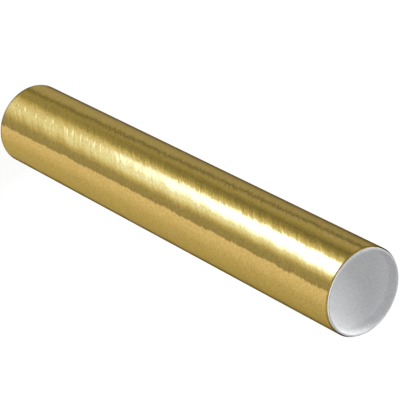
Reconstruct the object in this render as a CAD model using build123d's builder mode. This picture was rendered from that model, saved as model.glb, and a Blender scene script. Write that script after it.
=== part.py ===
"""A mailing tube: one spiral-wound board tube with a moulded plug cap pressed into each end.

The tube stands on its bottom cap. The origin is at the middle of that cap's outer face, +Z runs
up the tube's axis, and lengths are in millimetres.
"""

import os

from build123d import *

# The board tube
tube_bore = 76.2
tube_wall = 1.778
usable_length = 457.2
tube_edge_round = 0.3

# The lip of a plug cap, which rests on the tube's cut end
lip_overlap = 0.6
lip_thickness = 2.0
lip_edge_round = 0.4

# The hollow plug below the lip
plug_root_gap = 0.25
plug_draft = 0.4
plug_wall = 1.2
plug_floor = 1.4
recess_depth = 10.6
mouth_round = 0.8
floor_round = 2.0
tip_round = 2.0

# The two grip beads around the plug, placed down its length from the lip
bead_clearance = 0.05
bead_width = 1.4
bead_place_shares = (0.28, 0.56)

# The section of a plug cap: radii from the axis, heights from the lip's seat on the tube
bore_radius = tube_bore / 2
lip_radius = bore_radius + lip_overlap
plug_root_radius = bore_radius - plug_root_gap
plug_tip_radius = plug_root_radius - plug_draft
mouth_radius = plug_root_radius - plug_wall
floor_radius = plug_tip_radius - plug_wall
bead_radius = bore_radius - bead_clearance
recess_floor = lip_thickness - recess_depth
plug_tip = recess_floor - plug_floor

# The tube is cut long enough to leave its usable length free between the two plug tips
tube_radius = bore_radius + tube_wall
tube_length = usable_length - 2 * plug_tip
tube_bottom = lip_thickness
tube_top = tube_bottom + tube_length


def plug_wall_radius(height):
    """Outside radius of the tapered plug at a height on its wall."""
    return plug_root_radius + (plug_tip_radius - plug_root_radius) * height / plug_tip


def plug_cap(seat):
    """One plug cap, turned from its section. The seat plane's Y axis points out of the tube."""
    with BuildPart() as cap:
        with BuildSketch(seat) as section:
            with BuildLine():
                Polyline(
                    (0, plug_tip),
                    (0, recess_floor),
                    (floor_radius, recess_floor),
                    (mouth_radius, lip_thickness),
                    (lip_radius, lip_thickness),
                    (lip_radius, 0),
                    (plug_root_radius, 0),
                )
                wall_start = 0
                for place_share in bead_place_shares:
                    bead_middle = place_share * plug_tip
                    bead_top = bead_middle + bead_width / 2
                    bead_end = bead_middle - bead_width / 2
                    Line((plug_wall_radius(wall_start), wall_start), (plug_wall_radius(bead_top), bead_top))
                    ThreePointArc(
                        (plug_wall_radius(bead_top), bead_top),
                        (bead_radius, bead_middle),
                        (plug_wall_radius(bead_end), bead_end),
                    )
                    wall_start = bead_end
                Polyline(
                    (plug_wall_radius(wall_start), wall_start),
                    (plug_tip_radius, plug_tip),
                    (0, plug_tip),
                )
            make_face()
            rounded_corners = (
                ((lip_radius, lip_thickness), lip_edge_round),
                ((mouth_radius, lip_thickness), mouth_round),
                ((floor_radius, recess_floor), floor_round),
                ((plug_tip_radius, plug_tip), tip_round),
            )
            for corner, corner_round in rounded_corners:
                fillet(section.vertices().sort_by_distance(corner)[0], corner_round)
        revolve(axis=Axis.Z)
    return cap


# The tube, with its foil face turned a little over the cut ends
with BuildPart() as tube:
    with BuildSketch(Plane.XY.offset(tube_bottom)):
        Circle(tube_radius)
        Circle(bore_radius, mode=Mode.SUBTRACT)
    extrude(amount=tube_length)
    fillet(tube.edges().filter_by(GeomType.CIRCLE), tube_edge_round)

# The same cap at both ends, facing up at the top and down at the bottom
top_cap = plug_cap(Plane(origin=(0, 0, tube_top), x_dir=(1, 0, 0), z_dir=(0, -1, 0)))
bottom_cap = plug_cap(Plane(origin=(0, 0, tube_bottom), x_dir=(1, 0, 0), z_dir=(0, 1, 0)))

tube.part.label = "tube"
top_cap.part.label = "top_cap"
bottom_cap.part.label = "bottom_cap"

os.makedirs("parts", exist_ok=True)
export_step(tube.part, "parts/tube.step")
export_step(top_cap.part, "parts/top_cap.step")
export_step(bottom_cap.part, "parts/bottom_cap.step")
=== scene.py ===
# %% [markdown]
# # A gold mailing tube
#
# A mailing tube is a length of wound board with a shiny gold face, shut at each end by a white plastic
# plug cap. The construction model already fixes where everything is, so this lesson only dresses it:
# each solid gets a finer mesh and a finish, and then the tube is lit and looked at.
#
# The model is loaded first, and a helper reads the box that each of its pieces fills. Nothing made
# here may leave it.

# %% Load the construction model
import math

import bpy
from mathutils import Matrix, Vector


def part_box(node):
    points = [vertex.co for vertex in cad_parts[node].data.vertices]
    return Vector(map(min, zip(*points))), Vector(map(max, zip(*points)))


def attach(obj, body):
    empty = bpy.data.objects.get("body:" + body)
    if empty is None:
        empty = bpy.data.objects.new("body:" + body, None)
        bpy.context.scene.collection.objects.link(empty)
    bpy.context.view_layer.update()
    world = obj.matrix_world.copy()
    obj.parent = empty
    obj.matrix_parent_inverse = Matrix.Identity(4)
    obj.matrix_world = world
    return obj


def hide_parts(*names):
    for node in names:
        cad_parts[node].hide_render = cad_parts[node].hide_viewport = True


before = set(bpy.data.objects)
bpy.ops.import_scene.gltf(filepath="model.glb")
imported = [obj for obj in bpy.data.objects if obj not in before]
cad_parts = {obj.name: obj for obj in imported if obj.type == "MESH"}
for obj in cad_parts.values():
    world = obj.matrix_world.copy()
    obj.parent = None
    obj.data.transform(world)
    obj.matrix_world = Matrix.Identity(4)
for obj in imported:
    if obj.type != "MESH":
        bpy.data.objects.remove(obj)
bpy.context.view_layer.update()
print("pieces in the model:", sorted(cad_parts))

# %% [markdown]
# ## Sizes
#
# The tube stands on its end, so its radius and its two ends can be read from the model's boxes. They could
# be typed in again, but then they might differ from the model. Sizes that a box can't tell, such as the
# bore or the depth of a cap's recess, come later, each where it is first used. All are in metres.

# %% Read the sizes
tube_low, tube_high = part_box("tube")
cap_low, cap_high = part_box("top_cap")
tube_radius = tube_high.x
tube_bottom = tube_low.z
tube_top = tube_high.z
middle_height = (tube_bottom + tube_top) / 2
half_length = (tube_top - tube_bottom) / 2
lip_radius = cap_high.x
lip_thickness = cap_high.z - tube_top
plug_depth = tube_top - cap_low.z
print(f"tube {2000 * half_length:.1f} mm long, {2000 * tube_radius:.1f} mm across")
print(f"caps {2000 * lip_radius:.1f} mm across, {1000 * plug_depth:.1f} mm into the tube")

# %% [markdown]
# ## Turning a piece on a lathe
#
# All three pieces are round about one axis. They could be cylinders joined by booleans, but a real maker
# would draw half of the section and turn it, and that gives even faces and exact edges. Two helpers do
# this: one rounds the corners of an outline, and the other spins the outline about the Z axis.

# %% Helper: an outline with rounded corners
ARC_STEPS = 6


def rounded_outline(corners):
    """Points along an outline of (radius, height, rounding) corners, with an arc at each rounding."""
    points = []
    for place, (radius, height, rounding) in enumerate(corners):
        corner = Vector((radius, height))
        if not rounding:
            points.append(corner)
            continue
        before = (Vector(corners[place - 1][:2]) - corner).normalized()
        after = (Vector(corners[(place + 1) % len(corners)][:2]) - corner).normalized()
        half_angle = before.angle(after) / 2
        centre = corner + (before + after).normalized() * rounding / math.sin(half_angle)
        start = corner + before * rounding / math.tan(half_angle) - centre
        turn = start.angle_signed(corner + after * rounding / math.tan(half_angle) - centre)
        for step in range(ARC_STEPS + 1):
            angle = -turn * step / ARC_STEPS
            points.append(centre + Matrix.Rotation(angle, 2) @ start)
    return points


# %% Helper: spin an outline into a mesh
ON_AXIS = 1e-6
LARGE_FACES_LEAD = 100


def lathe(name, outline, sides, closed):
    """A new object made by turning an outline of (radius, height) points about the Z axis."""
    vertices = []
    rings = []
    for radius, height in outline:
        if radius < ON_AXIS:
            rings.append([len(vertices)] * sides)
            vertices.append((0, 0, height))
            continue
        rings.append(range(len(vertices), len(vertices) + sides))
        for side in range(sides):
            angle = 2 * math.pi * side / sides
            vertices.append((radius * math.cos(angle), radius * math.sin(angle), height))
    runs = list(zip(rings, rings[1:]))
    if closed:
        runs.append((rings[-1], rings[0]))
    faces = []
    for lower, upper in runs:
        for side in range(sides):
            following = (side + 1) % sides
            face = (lower[side], lower[following], upper[following], upper[side])
            faces.append(tuple(dict.fromkeys(face)))
    mesh = bpy.data.meshes.new(name)
    mesh.from_pydata(vertices, [], faces)
    mesh.validate()
    mesh.shade_smooth()
    piece = bpy.data.objects.new(name, mesh)
    bpy.context.scene.collection.objects.link(piece)
    even_shading = piece.modifiers.new("even_shading", "WEIGHTED_NORMAL")
    even_shading.weight = LARGE_FACES_LEAD
    print(f"{name}: {len(mesh.vertices)} corners, {len(mesh.polygons)} faces")
    return piece


# %% [markdown]
# ## The board tube
#
# The tube is one wall with a rounded edge at each cut end. The gold face is a foil glued to the outer
# ply and turned a little over the cut ends, and the bore and the rest of the ends are bare board. The foil
# could be a second thin sheet, but it is thinner than paper. So both finishes go on one mesh, and the
# outline has a point on each cut end where the foil stops.

# %% Turn the tube
TUBE_SIDES = 288
TUBE_BANDS = 24
bore_radius = 0.0381
tube_edge_round = 0.0003
foil_turnover = 0.0013
foil_reach = tube_radius - foil_turnover

outside_rise = [
    (tube_radius, tube_bottom + (tube_top - tube_bottom) * band / TUBE_BANDS, 0)
    for band in range(1, TUBE_BANDS)
]
tube_outline = rounded_outline(
    [(bore_radius, tube_bottom, tube_edge_round), (foil_reach, tube_bottom, 0)]
    + [(tube_radius, tube_bottom, tube_edge_round)]
    + outside_rise
    + [(tube_radius, tube_top, tube_edge_round)]
    + [(foil_reach, tube_top, 0), (bore_radius, tube_top, tube_edge_round)]
)
foil_tube = lathe("foil_tube", tube_outline, TUBE_SIDES, closed=True)

# %% [markdown]
# ## The plug caps
#
# A cap is a shallow cup with a thin lip. Its outline runs from the axis, over the floor of the recess, up
# the wall, over the lip and back down the plug, past two low beads that grip the bore. The bottom cap is
# the same moulding turned over. It could be a copy with a turn of its own, but the pieces here keep their
# place in their meshes, so one function makes both from the height of their seat and the way they face.

# %% The plug's taper and beads
plug_root_gap = 0.00025
plug_draft = 0.0004
plug_root_radius = bore_radius - plug_root_gap
plug_tip_radius = plug_root_radius - plug_draft
bead_clearance = 0.00005
bead_radius = bore_radius - bead_clearance
bead_half_width = 0.0007
bead_place_shares = (0.28, 0.56)
BEAD_STEPS = (-1, -0.5, 0, 0.5, 1)


def plug_radius(depth):
    """Outside radius of the tapered plug at a depth below its seat."""
    return plug_root_radius + (plug_tip_radius - plug_root_radius) * depth / plug_depth


print(f"plug from {2000 * plug_root_radius:.2f} to {2000 * plug_tip_radius:.2f} mm across")

# %% Turn the two caps
CAP_SIDES = 192
plug_wall = 0.0012
recess_depth = 0.0106
lip_edge_round = 0.0004
mouth_round = 0.0008
corner_round = 0.002


def plug_cap(name, seat, facing):
    """One cap with its lip on the seat height, facing up for 1 and down for -1."""
    mouth_radius = plug_root_radius - plug_wall
    floor_radius = plug_tip_radius - plug_wall
    section = [
        (0, recess_depth - lip_thickness, 0),
        (floor_radius, recess_depth - lip_thickness, corner_round),
        (mouth_radius, -lip_thickness, mouth_round),
        (lip_radius, -lip_thickness, lip_edge_round),
        (lip_radius, 0, 0),
        (plug_root_radius, 0, 0),
    ]
    for place_share in bead_place_shares:
        for step in BEAD_STEPS:
            depth = place_share * plug_depth + step * bead_half_width
            wall = plug_radius(depth)
            section.append((wall + (bead_radius - wall) * (1 - step**2), depth, 0))
    section += [(plug_tip_radius, plug_depth, corner_round), (0, plug_depth, 0)]
    outline = [(radius, seat - facing * depth) for radius, depth in rounded_outline(section)]
    return lathe(name, outline if facing < 0 else outline[::-1], CAP_SIDES, closed=False)


top_plug = plug_cap("top_plug", tube_top, 1)
bottom_plug = plug_cap("bottom_plug", tube_bottom, -1)

# %% [markdown]
# ## Writing finishes as nodes
#
# Every finish here is a small network of nodes. It could be drawn by hand in the shader editor, but a
# script can be read and run again. One helper adds a node, sets its inputs, and links those inputs that
# are given as another node's output. The others name the few nodes that all the finishes share.

# %% Helpers: add a node to a finish
def fill(tree, node, inputs):
    """Set a node's inputs, or link those that are given as another node's output."""
    for socket, value in dict(inputs).items():
        if isinstance(value, bpy.types.NodeSocket):
            tree.links.new(value, node.inputs[socket])
        else:
            node.inputs[socket].default_value = value


def add(tree, kind, inputs=(), **settings):
    """A new node with its settings, and with inputs given as (name or place, value or output)."""
    node = tree.nodes.new(kind)
    for name, value in settings.items():
        setattr(node, name, value)
    fill(tree, node, inputs)
    return node


def new_finish(name):
    """A new material with its node tree, and its main shader."""
    material = bpy.data.materials.new(name)
    material.use_nodes = True
    return material, material.node_tree, material.node_tree.nodes["Principled BSDF"]


# %% Helpers: numbers and places
def math_node(tree, operation, *values):
    """The output of a Math node that works on numbers or on other nodes' outputs."""
    return add(tree, "ShaderNodeMath", enumerate(values), operation=operation).outputs[0]


def fade(tree, value, start, end, low=0.0, high=1.0):
    """A number that goes evenly from low to high while a value goes from its start to its end."""
    ends = {"From Min": start, "From Max": end, "To Min": low, "To Max": high}
    return add(tree, "ShaderNodeMapRange", {"Value": value, **ends}).outputs[0]


def object_place(tree):
    """A point's place on the object, and the X, Y and Z of that place."""
    place = add(tree, "ShaderNodeTexCoord").outputs["Object"]
    return place, add(tree, "ShaderNodeSeparateXYZ", {0: place}).outputs


def axis_distance(tree, axes):
    """A point's distance from the tube's axis."""
    flat_place = add(tree, "ShaderNodeCombineXYZ", {"X": axes["X"], "Y": axes["Y"]}).outputs[0]
    return add(tree, "ShaderNodeVectorMath", {0: flat_place}, operation="LENGTH").outputs["Value"]


def middle_distance(tree, axes):
    """A point's distance up or down from the middle of the tube."""
    above_middle = math_node(tree, "SUBTRACT", axes["Z"], middle_height)
    return math_node(tree, "ABSOLUTE", above_middle)


# %% Helpers: noise, bumps and shades
def noise(tree, place, scale, detail, **more):
    """Soft random spots between 0 and 1, which a larger scale makes finer."""
    inputs = {"Vector": place, "Scale": scale, "Detail": detail, **more}
    return add(tree, "ShaderNodeTexNoise", inputs).outputs["Fac"]


def bump(tree, height, distance, strength=1.0, **more):
    """The way a surface faces when a height between 0 and 1 stands a distance out of it."""
    inputs = {"Height": height, "Distance": distance, "Strength": strength, **more}
    return add(tree, "ShaderNodeBump", inputs).outputs[0]


def two_tones(tree, value, places, first_tone, second_tone):
    """A colour between two tones, which a value picks between two places."""
    ramp = add(tree, "ShaderNodeValToRGB", {"Fac": value})
    for stop, place, tone in zip(ramp.color_ramp.elements, places, (first_tone, second_tone)):
        stop.position = place
        stop.color = (*tone, 1)
    return ramp.outputs["Color"]


def mottle(tree, place, size, depth):
    """A shade near 1 that varies by a depth from spot to spot, with spots of a size in metres."""
    return math_node(tree, "MULTIPLY_ADD", noise(tree, place, 1 / size, 1.0), depth, 1 - depth / 2)


def shaded(tree, colour, shade):
    """A colour times a shade."""
    inputs = {0: colour, "Scale": shade}
    return add(tree, "ShaderNodeVectorMath", inputs, operation="SCALE").outputs["Vector"]


# %% [markdown]
# ## The gold foil
#
# The foil is thin metal on paper. It mirrors the room, but it was stretched as it was wound on, so it is
# covered in fine streaks that lean over like the winding does, on top of broad, soft swells. A picture
# could be wrapped round the tube, but it would show a seam. Here each point's angle is turned back by its
# height, which straightens the lean, and noise is read on a circle, so the streaks close on themselves all
# the way round.

# %% The foil's streaks and swells
streak_lean = math.radians(40)
streak_width = 0.006
streak_length = 0.014
streak_detail = 2.2
streak_roughness = 0.45
streak_bend = 0.6
swell_fineness = 0.35
swell_detail = 0.6


def foil_noise(tree, axes):
    """The fine streaks and the broad swells of the foil, both between 0 and 1."""
    around = math_node(tree, "ARCTAN2", axes["Y"], axes["X"])
    wound_back = math_node(tree, "MULTIPLY", axes["Z"], math.tan(streak_lean) / tube_radius)
    angle = math_node(tree, "SUBTRACT", around, wound_back)
    along = math_node(tree, "MULTIPLY", axes["Z"], streak_width / streak_length / tube_radius)
    circle = {"X": math_node(tree, "COSINE", angle), "Y": math_node(tree, "SINE", angle), "Z": along}
    place = add(tree, "ShaderNodeCombineXYZ", circle).outputs[0]
    streak_shape = {"Roughness": streak_roughness, "Distortion": streak_bend}
    streaks = noise(tree, place, tube_radius / streak_width, streak_detail, **streak_shape)
    swells = noise(tree, place, swell_fineness * tube_radius / streak_width, swell_detail)
    return streaks, swells


print(f"streaks {1000 * streak_width:.0f} mm wide that lean {math.degrees(streak_lean):.0f} degrees")

# %% [markdown]
# ### Where the foil is rough and where it is calm
#
# A real foil isn't wound on evenly. This one is streaky at its foot and almost smooth at its top, and its
# roughness also changes from side to side. One depth for all the ripples would be simpler, but the bands
# that the foil mirrors would then be torn as much at one end as at the other. So the depth fades with the
# height and with Y, from the calm side over the bright side to the rough back.

# %% The depth of the ripples
foot_ripple = 0.00038
top_ripple = 0.0001
calm_ripple = 0.00014
back_ripple = 0.00038
bright_side = (0.05 * tube_radius, -0.42 * tube_radius)
bright_side_gain = (0.45, 1.5)
calm_side = (0.1 * tube_radius, 0.3 * tube_radius)
back_side = (-0.55 * tube_radius, -0.75 * tube_radius)


def ripple_depth(tree, axes, share):
    """The depth of the foil's ripples in metres, at a share of the way up the tube."""
    by_height = math_node(tree, "MULTIPLY_ADD", share, top_ripple - foot_ripple, foot_ripple)
    by_side = fade(tree, axes["Y"], *bright_side, *bright_side_gain)
    front = math_node(tree, "MULTIPLY", by_height, by_side)
    calmer = fade(tree, axes["Y"], *calm_side, front, calm_ripple)
    return fade(tree, axes["Y"], *back_side, calmer, back_ripple)


print(f"ripples {1000 * foot_ripple:.2f} mm deep at the foot and {1000 * top_ripple:.2f} mm at the top")

# %% [markdown]
# ### The way the foil faces
#
# The ripples are far too fine to be cut into the mesh, so they are bumps: they only turn the way in which
# the surface faces. A turn round the tube makes a band's edge ragged, and a tilt along the tube makes
# bright flecks. The photographed foil has its flecks near the foot, so the tilt is eased further up.

# %% The foil's facing
swell_depth = 0.00048
tilt_heights = (0.1, 0.42)
least_tilt = 0.35
tilt_side = (-0.45 * tube_radius, -0.65 * tube_radius)
back_tilt = 1.1


def foil_facing(tree, axes, share, streaks, swells):
    """The way the foil faces, with fine ripples on broad swells and an eased tilt along the tube."""
    swell = bump(tree, swells, swell_depth)
    ripple = bump(tree, streaks, ripple_depth(tree, axes, share), Normal=swell)
    tilt_by_height = fade(tree, share, *tilt_heights, 1.0, least_tilt)
    tilt_by_side = fade(tree, axes["Y"], *tilt_side, 0.0, back_tilt)
    tilt = math_node(tree, "MAXIMUM", tilt_by_height, tilt_by_side)
    tilt_scale = add(tree, "ShaderNodeCombineXYZ", {"X": 1.0, "Y": 1.0, "Z": tilt}).outputs[0]
    eased = add(tree, "ShaderNodeVectorMath", {0: ripple, 1: tilt_scale}, operation="MULTIPLY").outputs[0]
    return add(tree, "ShaderNodeVectorMath", {0: eased}, operation="NORMALIZE").outputs[0]


print(f"swells {1000 * swell_depth:.2f} mm deep")

# %% [markdown]
# ### The foil's colour
#
# Metal has no colour of its own apart from the tint of what it mirrors, so the gold is the base colour of
# a metallic shader. It could be one flat gold, but the streaks are a little paler and duller, the paper
# below the metal shows as a fine grain, and painted shade darkens the foil near the cut ends.

# %% The gold of the foil
streak_places = (0.3, 0.7)
deep_gold = (0.785, 0.547, 0.135)
pale_gold = (0.825, 0.577, 0.147)
grain_size = 0.002
grain_depth = 0.56
# Painted shade darkens the foil's ends, most at the foot where the tube stands on the floor.
painted_foot_shade = 0.4
painted_foot_shade_end = tube_bottom + 0.0024
painted_top_shade = 0.7
painted_top_shade_start = tube_top - 0.0016


def foil_colour(tree, place, axes, streaks):
    """The gold of the foil, with its grain, and with painted shade that darkens both ends of the tube."""
    gold = two_tones(tree, streaks, streak_places, deep_gold, pale_gold)
    painted_shade_at_foot = fade(tree, axes["Z"], tube_bottom + tube_edge_round, painted_foot_shade_end, painted_foot_shade, 1.0)
    painted_shade_at_top = fade(tree, axes["Z"], painted_top_shade_start, tube_top, 1.0, painted_top_shade)
    painted_shade_at_ends = math_node(tree, "MULTIPLY", painted_shade_at_foot, painted_shade_at_top)
    grain = mottle(tree, place, grain_size, grain_depth)
    return shaded(tree, gold, math_node(tree, "MULTIPLY", painted_shade_at_ends, grain))


print(f"grain of {1000 * grain_size:.0f} mm, foot {100 * (1 - painted_foot_shade):.0f} percent darker")

# %% The gold foil finish
foil_roughness = (0.06, 0.10)
grazing_tint = (1.0, 0.92, 0.6, 1)


def gold_foil():
    """The metal face of the tube."""
    material, tree, shader = new_finish("gold_foil")
    place, axes = object_place(tree)
    share = fade(tree, axes["Z"], tube_bottom, tube_top)
    streaks, swells = foil_noise(tree, axes)
    fill(tree, shader, {
        "Base Color": foil_colour(tree, place, axes, streaks),
        "Roughness": fade(tree, streaks, *streak_places, *foil_roughness),
        "Normal": foil_facing(tree, axes, share, streaks, swells),
        "Metallic": 1.0,
        "Specular Tint": grazing_tint,
    })
    print(material.name, "has", len(tree.nodes), "nodes")
    return material


# %% [markdown]
# ## The bare board
#
# Inside, and on the cut ends, the tube is plain board: plies of brown paper glued round each other. The
# plies could be thin rings of mesh, but they are only a third of a millimetre thick. A wave of the
# distance from the axis shows them on a cut end, and noise gives the paper its short fibres.

# %% The board finish
ply_thickness = 0.0003
ring_strength = 0.2
fibre_scale = 900.0
fibre_detail = 4.0
paper_places = (0.25, 0.8)
dark_paper = (0.20, 0.135, 0.08)
pale_paper = (0.40, 0.29, 0.18)
# Painted shade darkens the cut ends, where they meet the caps' lips.
painted_cut_shade = 0.6
nap_height = 0.00008
nap_strength = 0.6
board_roughness = 0.85


def bare_board():
    """The paper of the bore and of the cut ends, with painted shade that darkens the cut ends."""
    material, tree, shader = new_finish("bare_board")
    place, axes = object_place(tree)
    plies = math_node(tree, "MULTIPLY", axis_distance(tree, axes), 2 * math.pi / ply_thickness)
    rings = math_node(tree, "SINE", plies)
    fibres = noise(tree, place, fibre_scale, fibre_detail)
    mixed = math_node(tree, "MULTIPLY_ADD", rings, ring_strength, fibres)
    paper = two_tones(tree, mixed, paper_places, dark_paper, pale_paper)
    from_middle = middle_distance(tree, axes)
    painted_shade_at_cut = fade(tree, from_middle, half_length - tube_edge_round, half_length, 1.0, painted_cut_shade)
    fill(tree, shader, {
        "Base Color": shaded(tree, paper, painted_shade_at_cut),
        "Roughness": board_roughness,
        "Normal": bump(tree, mixed, nap_height, nap_strength),
    })
    print(material.name, "has", len(tree.nodes), "nodes")
    return material


# %% [markdown]
# ## The white plastic
#
# The caps are moulded in soft white plastic. It is matt and slightly cool, with a fine mottle, tiny
# pimples from the mould, and a few cloudy patches where the plastic cooled at different rates. One flat
# white would do from afar, but the cap faces the camera and would look like paper. The rounded edge of
# the lip gets a painted shade that darkens it, which keeps its outline clear on a white floor.

# %% The mottle and the painted shade on the lip's edge
mottle_size = 0.0021
mottle_depth = 0.33
# Painted shade darkens the lip's rounded outer edge, which outlines the cap on the white floor.
painted_lip_shade = 0.65
painted_lip_shade_insets = (0.0007, 0.0001)
painted_lip_shade_drops = (0.0008, 0.0003)


def mottle_and_painted_edge_shade(tree, place, axes):
    """The plastic's mottle, times a painted shade on the lip's outer edge."""
    inner_end, outer_end = (lip_radius - inset for inset in painted_lip_shade_insets)
    outer = fade(tree, axis_distance(tree, axes), inner_end, outer_end)
    above_seat = math_node(tree, "SUBTRACT", middle_distance(tree, axes), half_length)
    lower_end, upper_end = (lip_thickness - drop for drop in painted_lip_shade_drops)
    upper = fade(tree, above_seat, lower_end, upper_end)
    edge = math_node(tree, "MULTIPLY", outer, upper)
    painted_edge_shade = math_node(tree, "MULTIPLY_ADD", edge, painted_lip_shade - 1, 1.0)
    return math_node(tree, "MULTIPLY", painted_edge_shade, mottle(tree, place, mottle_size, mottle_depth))


print(f"mottle of {1000 * mottle_size:.1f} mm, lip edge {100 * (1 - painted_lip_shade):.0f} percent darker")

# %% The plastic finish
cloud_scale = 60.0
cloud_detail = 3.0
cloud_places = (0.3, 0.7)
cool_white = (0.83, 0.84, 0.855)
pale_white = (0.87, 0.875, 0.88)
plastic_roughness = (0.28, 0.36)
pimple_scale = 2500.0
pimple_detail = 2.0
pimple_height = 0.00005
pimple_strength = 0.25


def white_plastic():
    """The moulded plastic of both caps."""
    material, tree, shader = new_finish("white_plastic")
    place, axes = object_place(tree)
    clouds = noise(tree, place, cloud_scale, cloud_detail)
    pimples = noise(tree, place, pimple_scale, pimple_detail)
    tone = two_tones(tree, clouds, cloud_places, cool_white, pale_white)
    fill(tree, shader, {
        "Base Color": shaded(tree, tone, mottle_and_painted_edge_shade(tree, place, axes)),
        "Roughness": fade(tree, clouds, 0.0, 1.0, *plastic_roughness),
        "Normal": bump(tree, pimples, pimple_height, pimple_strength),
    })
    print(material.name, "has", len(tree.nodes), "nodes")
    return material


# %% [markdown]
# ## Putting the finishes on
#
# Each piece now gets its finish, takes the place of its solid, and rides on that solid's body, so that it
# follows when a cap is pulled out. The tube has two finishes: a face takes the foil if it lies further out
# than the foil's reach, and it takes the board if it doesn't.

# %% Give the pieces their finishes
foil_tube.data.materials.append(gold_foil())
foil_tube.data.materials.append(bare_board())
for face in foil_tube.data.polygons:
    if face.center.xy.length < foil_reach * math.cos(math.pi / TUBE_SIDES):
        face.material_index = 1

plastic = white_plastic()
for plug in (top_plug, bottom_plug):
    plug.data.materials.append(plastic)

# %% Let the pieces stand for their solids
for piece, node, slot in (
    (foil_tube, "tube", "gold_foil_board"),
    (top_plug, "top_cap", "white_plastic"),
    (bottom_plug, "bottom_cap", "white_plastic"),
):
    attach(piece, node)
    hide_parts(node)
    print(piece.name, "stands for", node, "with", [m.name for m in piece.data.materials])

# %% [markdown]
# ## The floor and the room
#
# The tube stands on a white floor in a white room. Strong lamps could make a grey floor white, but they
# would burn out the white cap. So the floor is dim and glows evenly by itself, which keeps the tube's soft
# shadow faint. The room is white where it is seen, in the picture or in a mirror, and the light that it
# sheds is lower, which leaves some shade in the cap's recess.

# %% Make the floor
FLOOR_SIZE = 12.0
floor_grey = (0.2, 0.2, 0.2, 1)
floor_glow = 0.88

bpy.ops.mesh.primitive_plane_add(size=FLOOR_SIZE)
floor = bpy.context.object
floor.name = "floor"
floor_finish, floor_tree, floor_shader = new_finish("white_floor")
floor_tree.nodes.remove(floor_shader)
dull = add(floor_tree, "ShaderNodeBsdfDiffuse", {"Color": floor_grey}).outputs[0]
glow = add(floor_tree, "ShaderNodeEmission", {"Strength": floor_glow}).outputs[0]
glowing = add(floor_tree, "ShaderNodeAddShader", {0: dull, 1: glow}).outputs[0]
fill(floor_tree, floor_tree.nodes["Material Output"], {"Surface": glowing})
floor.data.materials.append(floor_finish)
print("floor of", FLOOR_SIZE, "m with a glow of", floor_glow)

# %% Make the room
WHITE = (1, 1, 1, 1)
room_light = 0.265


def seen_directly(tree):
    """1 for a ray from the camera, a mirror or a glass, and 0 for the light on the tube."""
    path = add(tree, "ShaderNodeLightPath").outputs
    mirrored = math_node(tree, "MAXIMUM", path["Is Glossy Ray"], path["Is Transmission Ray"])
    return math_node(tree, "MAXIMUM", path["Is Camera Ray"], mirrored)


room = bpy.data.worlds.new("white_room")
bpy.context.scene.world = room
room.use_nodes = True
room_tree = room.node_tree
room_tree.nodes.clear()
dim = add(room_tree, "ShaderNodeBackground", {"Color": WHITE, "Strength": room_light}).outputs[0]
white = add(room_tree, "ShaderNodeBackground", {"Color": WHITE, "Strength": 1.0}).outputs[0]
room_mix = add(room_tree, "ShaderNodeMixShader", {0: seen_directly(room_tree), 1: dim, 2: white})
add(room_tree, "ShaderNodeOutputWorld", {"Surface": room_mix.outputs[0]})
print("room light", room_light)

# %% [markdown]
# ## The lamps
#
# Three soft lamps shade the top cap. The key stands to the side, only a little higher than the cap, so it
# grazes the recess: one wall is bright and the floor below the other is in shade. The front lamp is weaker
# and stands higher, and it shows the soft corner between the floor and the wall. The card is lower than the
# cap, like a white card held beside the tube, and it lights the side of the lip. A single large lamp would
# leave the recess flat. No lamp is mirrored, because the foil would show it as a spark on its cut edge.

# %% Place the lamps
cap_middle = Vector((0, 0, tube_top))


def soft_lamp(name, azimuth, height, distance, width, depth, level):
    """A lamp of a width and depth in metres, aimed at the top cap from two angles in degrees."""
    azimuth, height = math.radians(azimuth), math.radians(height)
    flat = Vector((math.cos(azimuth), math.sin(azimuth), 0))
    way = flat * math.cos(height) + Vector((0, 0, math.sin(height)))
    lamp = bpy.data.lights.new(name, "AREA")
    lamp.shape = "RECTANGLE"
    lamp.size = width
    lamp.size_y = depth
    lamp.energy = level * math.pi**2 * distance**2
    stand = bpy.data.objects.new(name, lamp)
    bpy.context.scene.collection.objects.link(stand)
    stand.location = cap_middle + way * distance
    stand.rotation_euler = (-way).to_track_quat("-Z", "Y").to_euler()
    stand.visible_glossy = False
    print(f"{name} lamp of {lamp.energy:.1f} W")


soft_lamp("key", azimuth=-114, height=10.7, distance=1.6, width=0.94, depth=0.44, level=1.12)
soft_lamp("front", azimuth=-2, height=64, distance=1.6, width=0.7, depth=0.7, level=0.2)
soft_lamp("card", azimuth=42, height=-18, distance=0.9, width=0.8, depth=0.3, level=0.55)

# %% [markdown]
# ## The camera
#
# The camera looks down the tube from well above its top end, through a long lens, and it is rolled so that
# the tube lies across the picture. It could be pushed about by hand until the view fits. Here its place is
# worked out from the angle between the axis and the line of sight, the distance, and the small shift of the
# tube from the middle of the picture, so that each of them can be changed alone.

# %% Place the camera
sight_angle = math.radians(44.11)
camera_roll = math.radians(116.92)
camera_distance = 1.8434
tube_shift = (-0.01507, 0.00006)
lens_mm = 183.9

sight = Vector((math.sin(sight_angle), 0, math.cos(sight_angle)))
level_up = (Vector((0, 0, 1)) - sight * sight.z).normalized()
level_right = level_up.cross(sight)
right = level_right * math.cos(camera_roll) + level_up * math.sin(camera_roll)
up = level_up * math.cos(camera_roll) - level_right * math.sin(camera_roll)
tube_middle = Vector((0, 0, middle_height))
camera_place = tube_middle + sight * camera_distance - right * tube_shift[0] - up * tube_shift[1]

camera_data = bpy.data.cameras.new("camera")
camera_data.lens = lens_mm
camera = bpy.data.objects.new("camera", camera_data)
bpy.context.scene.collection.objects.link(camera)
camera.matrix_world = Matrix.Translation(camera_place) @ Matrix((right, up, sight)).transposed().to_4x4()
bpy.context.scene.camera = camera
bpy.context.scene.view_settings.view_transform = "Standard"
print("camera at", [round(value, 3) for value in camera.location])

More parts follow.
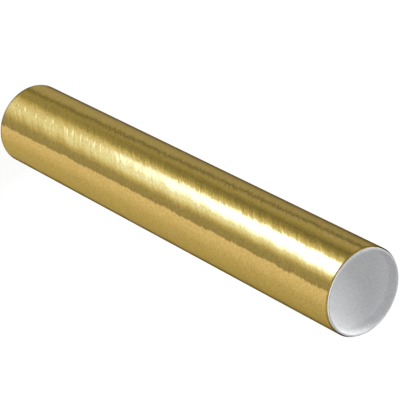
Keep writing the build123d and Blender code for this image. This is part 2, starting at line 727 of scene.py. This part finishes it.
# %% [markdown]
# ## What the foil mirrors
#
# A shiny tube shows the things around it, and in a plain white room it would be one flat yellow. A
# photographer sets pale and dark panels round such a thing. They could be a few flat cards, but the bands
# on a tube fade into each other. So the panels' light is worked out for each spot on the tube, from the
# angle of the spot round the axis and its share of the way from the foot to the top. It has stops between
# which the light fades evenly, and one dark crease that leans a little.

# %% Helpers: fade between stops
def smooth_step(start, end, value):
    """0 before the start, 1 after the end, and an even curve between them."""
    part = min(1.0, max(0.0, (value - start) / (end - start)))
    return part * part * (3 - 2 * part)


def between(ends, share):
    """The value at a share of the way from the first end to the second."""
    return ends[0] + (ends[1] - ends[0]) * share


def kept_share(share):
    """A share that stays between 0 and 1."""
    return min(1.0, max(0.0, share))


# %% Choose the panels' stops
# Each stop is an angle round the tube in degrees, and the light at the three places along the tube.
light_places = (0.1, 0.42, 0.9)
panel_lights = (
    (-90, 0.08, 0.08, 0.08), (-80, 0.12, 0.12, 0.12), (-75, 0.22, 0.21, 0.20), (-68, 0.36, 0.34, 0.325),
    (-60, 0.42, 0.395, 0.375), (-50, 0.41, 0.42, 0.48), (-43, 0.41, 0.41, 0.40), (-34, 0.345, 0.26, 0.20),
    (-30, 0.36, 0.31, 0.30), (-27, 0.37, 0.38, 0.385), (-24, 0.48, 0.56, 0.70), (-21, 0.68, 1.01, 1.24),
    (-18, 0.97, 1.25, 1.58), (-7, 1.42, 2.25, 1.9), (-3, 1.25, 2.4, 1.8), (0, 0.97, 1.83, 1.70),
    (3, 0.79, 1.18, 0.93), (6, 0.585, 0.62, 0.50), (10, 0.415, 0.405, 0.385), (19.2, 0.355, 0.355, 0.355),
    (20.4, 0.80, 0.81, 0.82), (28, 0.76, 0.785, 0.78), (42, 0.58, 0.59, 0.59), (62, 0.485, 0.475, 0.455),
    (70, 0.44, 0.43, 0.38), (76, 0.23, 0.23, 0.22), (80, 0.13, 0.13, 0.13), (90, 0.08, 0.08, 0.08),
)
print(len(panel_lights), "stops, the brightest at", max(max(stop[1:]) for stop in panel_lights))

# %% Work out the panels' light
crease_angles = (-42.9, -55.3)
crease_width = 4.2
crease_depths = (0.46, 0.52)
edge_leans = (1.5, -0.9)
foot_lean = 1.7
foot_lean_reach = 0.12
lean_start = (12, 19)
lean_end = (90, 40)


def panel_light(angle, share):
    """The light mirrored by a spot on the tube, at a share of the way from its foot to its top."""
    share = kept_share(share)
    lean = between(edge_leans, share) + foot_lean * smooth_step(foot_lean_reach, 0, share)
    seen_angle = min(90, angle - lean * smooth_step(*lean_start, angle) * smooth_step(*lean_end, angle))
    foot_place, middle_place, top_place = light_places
    upper = kept_share((share - middle_place) / (top_place - middle_place))
    lower = kept_share((middle_place - share) / (middle_place - foot_place))
    for (start, *lights_a), (end, *lights_b) in zip(panel_lights, panel_lights[1:]):
        if start <= seen_angle <= end:
            part = (seen_angle - start) / (end - start)
            foot, middle, top = (between(pair, part) for pair in zip(lights_a, lights_b))
            light = middle + (foot - middle) * lower + (top - middle) * upper
            break
    crease = (angle - between(crease_angles, share)) / crease_width
    return light * (1 - between(crease_depths, share) * math.exp(-crease**2))


print("panel light in the middle of the tube:", round(panel_light(0, 0.5), 2))

# %% [markdown]
# ### The window
#
# The brightest thing that the tube mirrors is a window, or a lamp as large as one. It shows as a white
# streak that starts thin near the foot and widens towards the top. It could be one more stop in the list,
# but its edges are soft and run at a slant, so it has a function of its own. It is bluish, because blue is
# what gold swallows, and without it the streak would stay yellow.

# %% Choose the window's light
window_colour = (0.25, 0.30, 1.0)
window_lights = (1.5, 7.5)
window_starts = (-16.0, -18.3)
window_start_reach = (0.2, 0.55)
window_ends = (-13.2, -2.3)
window_start_edges = (2.0, 2.6)
window_end_edges = (3.0, 5.0)
window_rise = (0.15, 0.55)
window_close = (1.35, 1.1)


def window_light(angle, share):
    """The light of the bright window that a spot mirrors, which widens from the foot to the top."""
    beyond = smooth_step(*window_close, share)
    share = kept_share(share)
    window_start = between(window_starts, smooth_step(*window_start_reach, share))
    window_end = between(window_ends, share)
    start_edge = between(window_start_edges, share)
    end_edge = between(window_end_edges, share)
    across = smooth_step(window_start - start_edge, window_start + start_edge, angle)
    across *= smooth_step(window_end + end_edge, window_end - end_edge, angle)
    return between(window_lights, share) * across * beyond * smooth_step(*window_rise, share)


print("window light at the tube's top:", round(window_light(-10, 1.0), 2))

# %% [markdown]
# ### The panels' colours
#
# White panels would leave the foil one hue from side to side. On a real set the bright panels are cool, the
# far side mirrors something warm, and the edges of the tube mirror the brown things behind it. Each colour
# here is the light times a tint, and the tints fade into each other. The brightest light is held back in
# red and green, as film does, because the gold would turn it orange.

# %% Helpers: changes of colour
bright_start = 0.6


def change(start, end, amount, angle):
    """An amount that comes in between two angles."""
    return amount * smooth_step(start, end, angle)


def held_back(light, rise, softness):
    """A bright light that levels off above the bright start."""
    return bright_start + rise * (1 - math.exp((bright_start - light) / softness))


# %% Choose the panels' colours
cool_green = 1.03
cool_blue = 1.1
warm_start = 18.4
warm_green = 0.985
warm_blue = 1.24
warm_blue_losses = ((26, 42, 0.16), (45, 63, 0.12))
red_rise = 0.62
red_softness = 1.3
green_rise = 1.15
green_softness = 1.7
blue_loss = (-17, -27, 0.16)
blue_gain = (-38, -52, 0.26)
brown_reach = (66, 78)
brown_green_loss = 0.2
brown_blue_losses = (0.75, 0.55)
rim_blue_loss = (78, 86, 0.6)


def panel_colour(angle, share):
    """The colour that a spot mirrors: cool where it is bright, warm on the far side, brown at the edges."""
    light = panel_light(angle, share)
    red, green, blue = light, cool_green * light, cool_blue * light
    if angle > warm_start:
        green = warm_green * light
        blue = light * (warm_blue - sum(change(*loss, angle) for loss in warm_blue_losses))
    elif light > bright_start:
        red = held_back(light, red_rise, red_softness)
        green = held_back(light, green_rise, green_softness)
    blue *= 1 - change(*blue_loss, angle) + change(*blue_gain, angle)
    brown = smooth_step(*brown_reach, abs(angle))
    green *= 1 - brown_green_loss * brown
    blue *= 1 - brown_blue_losses[0 if angle > 0 else 1] * brown
    blue *= 1 - change(*rim_blue_loss, abs(angle))
    window = window_light(angle, share)
    return (*(part + tint * window for part, tint in zip((red, green, blue), window_colour)), 1)


print("colour in the middle of the tube:", [round(part, 2) for part in panel_colour(0, 0.5)])

# %% [markdown]
# ## The drum of panels
#
# The panels form a wide drum that only mirrors see. An upright tube sends the camera's ray on at twice the
# angle of the spot that it hits, so each line of the drum runs out at twice the angle of its spot, and every
# band then stands straight up the tube. The drum could be a near wall, but then a small ripple in the foil
# would shift the mirrored share more at one end than at the other. Its floor is deep, so that it doesn't.
# Level views mirror the drum's wall, which is pale below and dark above.

# %% Lay out one line of the drum
SHARE_STEPS = 20
FIRST_STEP = -12
LAST_STEP = 24
drum_shares = [step / SHARE_STEPS for step in range(FIRST_STEP, LAST_STEP + 1)]
drum_depth = 1.5
drum_radius = 12.0
drum_hub = 0.05
drum_top = 19.0
bright_wall_top = 4.0
dark_wall_start = 5.0
dark_wall = (0.05, 0.045, 0.03, 1)
low_view_reach = 7.0
low_view_share = 0.8
low_view_turn = 96


def panel_reach(share):
    """How far out the drum's floor shows in the tube, at a share of the way from its foot to its top."""
    height = share * tube_top
    return (height + drum_depth) * camera_place.x / (camera_place.z - height)


def drum_line(angle):
    """The (reach, height, colour) points of the drum's line for a spot at an angle, from the hub out."""
    low_colour = panel_colour((2 * angle + low_view_turn) % 180 - 90, low_view_share)
    points = [(drum_hub, -drum_depth, dark_wall)]
    points += [(panel_reach(share), -drum_depth, panel_colour(angle, share)) for share in drum_shares]
    points += [(low_view_reach, -drum_depth, low_colour), (drum_radius, -drum_depth, low_colour)]
    points += [(drum_radius, bright_wall_top, low_colour)]
    points += [(drum_radius, dark_wall_start, dark_wall), (drum_radius, drum_top, dark_wall)]
    return points


print(len(drum_line(0)), "points to a line, and the tube's top mirrors", round(panel_reach(1), 2), "m out")

# %% Work out all the lines
DRUM_LINES = 720

drum_vertices = []
drum_colours = []
for line in range(DRUM_LINES):
    angle = -90 + 180 * line / DRUM_LINES
    spot = math.radians(angle)
    foot = Vector((math.cos(spot), math.sin(spot), 0)) * tube_radius
    way = Vector((math.cos(2 * spot), math.sin(2 * spot), 0))
    for reach, height, colour in drum_line(angle):
        drum_vertices.append(foot + way * reach + Vector((0, 0, height)))
        drum_colours.append(colour)
print("drum points:", len(drum_vertices))

# %% Build the drum
row = len(drum_vertices) // DRUM_LINES
drum_faces = []
for line in range(DRUM_LINES):
    here = line * row
    beside = (line + 1) % DRUM_LINES * row
    for step in range(row - 1):
        drum_faces.append((here + step, here + step + 1, beside + step + 1, beside + step))
drum_mesh = bpy.data.meshes.new("panel_drum")
drum_mesh.from_pydata(drum_vertices, [], drum_faces)
panel_data = drum_mesh.color_attributes.new("panel_light", "FLOAT_COLOR", "POINT")
for entry, colour in zip(panel_data.data, drum_colours):
    entry.color = colour
panel_drum = bpy.data.objects.new("panel_drum", drum_mesh)
bpy.context.scene.collection.objects.link(panel_drum)
print("panel drum:", len(drum_mesh.polygons), "faces")

# %% Let only mirrors see the panels
for kind in ("camera", "diffuse", "transmission", "volume_scatter", "shadow"):
    setattr(panel_drum, "visible_" + kind, False)
floor.visible_glossy = False
panel_finish, panel_tree, panel_shader = new_finish("panel_glow")
panel_tree.nodes.remove(panel_shader)
panel_colours = add(panel_tree, "ShaderNodeVertexColor", layer_name="panel_light").outputs["Color"]
panel_glow = add(panel_tree, "ShaderNodeEmission", {"Color": panel_colours}).outputs[0]
fill(panel_tree, panel_tree.nodes["Material Output"], {"Surface": panel_glow})
panel_finish.cycles.emission_sampling = "NONE"
drum_mesh.materials.append(panel_finish)
blue_lights = [colour[2] for colour in drum_colours]
print("panels' blue light from", round(min(blue_lights), 2), "to", round(max(blue_lights), 2))
